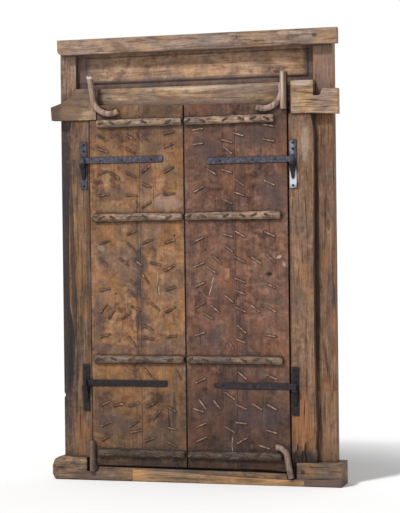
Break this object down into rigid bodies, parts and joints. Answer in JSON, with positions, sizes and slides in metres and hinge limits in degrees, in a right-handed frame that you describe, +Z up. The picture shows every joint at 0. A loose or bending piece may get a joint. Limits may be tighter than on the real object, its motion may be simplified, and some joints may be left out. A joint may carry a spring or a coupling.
{
  "type": "teak double door in its frame",
  "caption": "Old two-leaf teak plank door in its frame, with poles, clenched nails, carved horns and iron strap hinges.",
  "frame": {"origin": "on the floor, midway between the posts' outer edges, in the plane of the posts' front faces", "axes": "+X along the wall towards the right leaf, +Z up, -Y the side that the leaves open to"},
  "size_m": [1.574, 0.188, 2.348],
  "materials": {
    "teak": "weathered, matte",
    "red_teak": "weathered, matte",
    "grey_teak": "weathered, matte",
    "dark_teak": "weathered, matte",
    "pale_teak": "sawn, matte",
    "blue_iron": "worn, satin",
    "black_iron": "rusted, matte",
    "worn_iron": "worn, matte"
  },
  "bodies": {
    "frame": {"sill": "dark_teak", "sill_splice": "pale_teak", "lintel": "teak", "cap_rail": "grey_teak", "left_post": "teak", "right_post": "teak", "right_post_foot": "dark_teak", "left_jamb": "teak", "right_jamb": "teak", "transom_panel": "teak", "frame_pegs": "pale_teak", "upper_left_hinge_plate": "blue_iron", "lower_left_hinge_plate": "black_iron", "upper_right_hinge_plate": "blue_iron", "lower_right_hinge_plate": "black_iron", "upper_left_pintle": "black_iron", "lower_left_pintle": "black_iron", "upper_right_pintle": "black_iron", "lower_right_pintle": "black_iron", "hinge_plate_nails": "black_iron"},
    "left_leaf": {"left_outer_plank": "teak", "left_inner_plank": "teak", "left_dowels": "pale_teak", "left_bottom_pole": "grey_teak", "left_lower_pole": "grey_teak", "left_upper_pole": "grey_teak", "left_top_pole": "grey_teak", "left_clenched_nails": "worn_iron", "left_pole_nails": "worn_iron", "left_strap_rivets": "black_iron", "upper_left_strap": "blue_iron", "lower_left_strap": "black_iron"},
    "right_leaf": {"right_outer_plank": "red_teak", "right_inner_plank": "red_teak", "right_dowels": "pale_teak", "right_bottom_pole": "grey_teak", "right_lower_pole": "grey_teak", "right_upper_pole": "grey_teak", "right_top_pole": "grey_teak", "right_clenched_nails": "worn_iron", "right_pole_nails": "worn_iron", "right_strap_rivets": "black_iron", "upper_right_strap": "blue_iron", "lower_right_strap": "black_iron", "wood_plug": "pale_teak"}
  },
  "joints": [
    {"name": "left_leaf_swing", "type": "hinge", "parent": "frame", "child": "left_leaf", "pos_m": [-0.602, -0.06, 0.518], "axis": [0, 0, -1], "range_deg": [0, 110]},
    {"name": "right_leaf_swing", "type": "hinge", "parent": "frame", "child": "right_leaf", "pos_m": [0.542, -0.06, 0.512], "axis": [0, 0, 1], "range_deg": [0, 110]}
  ]
}
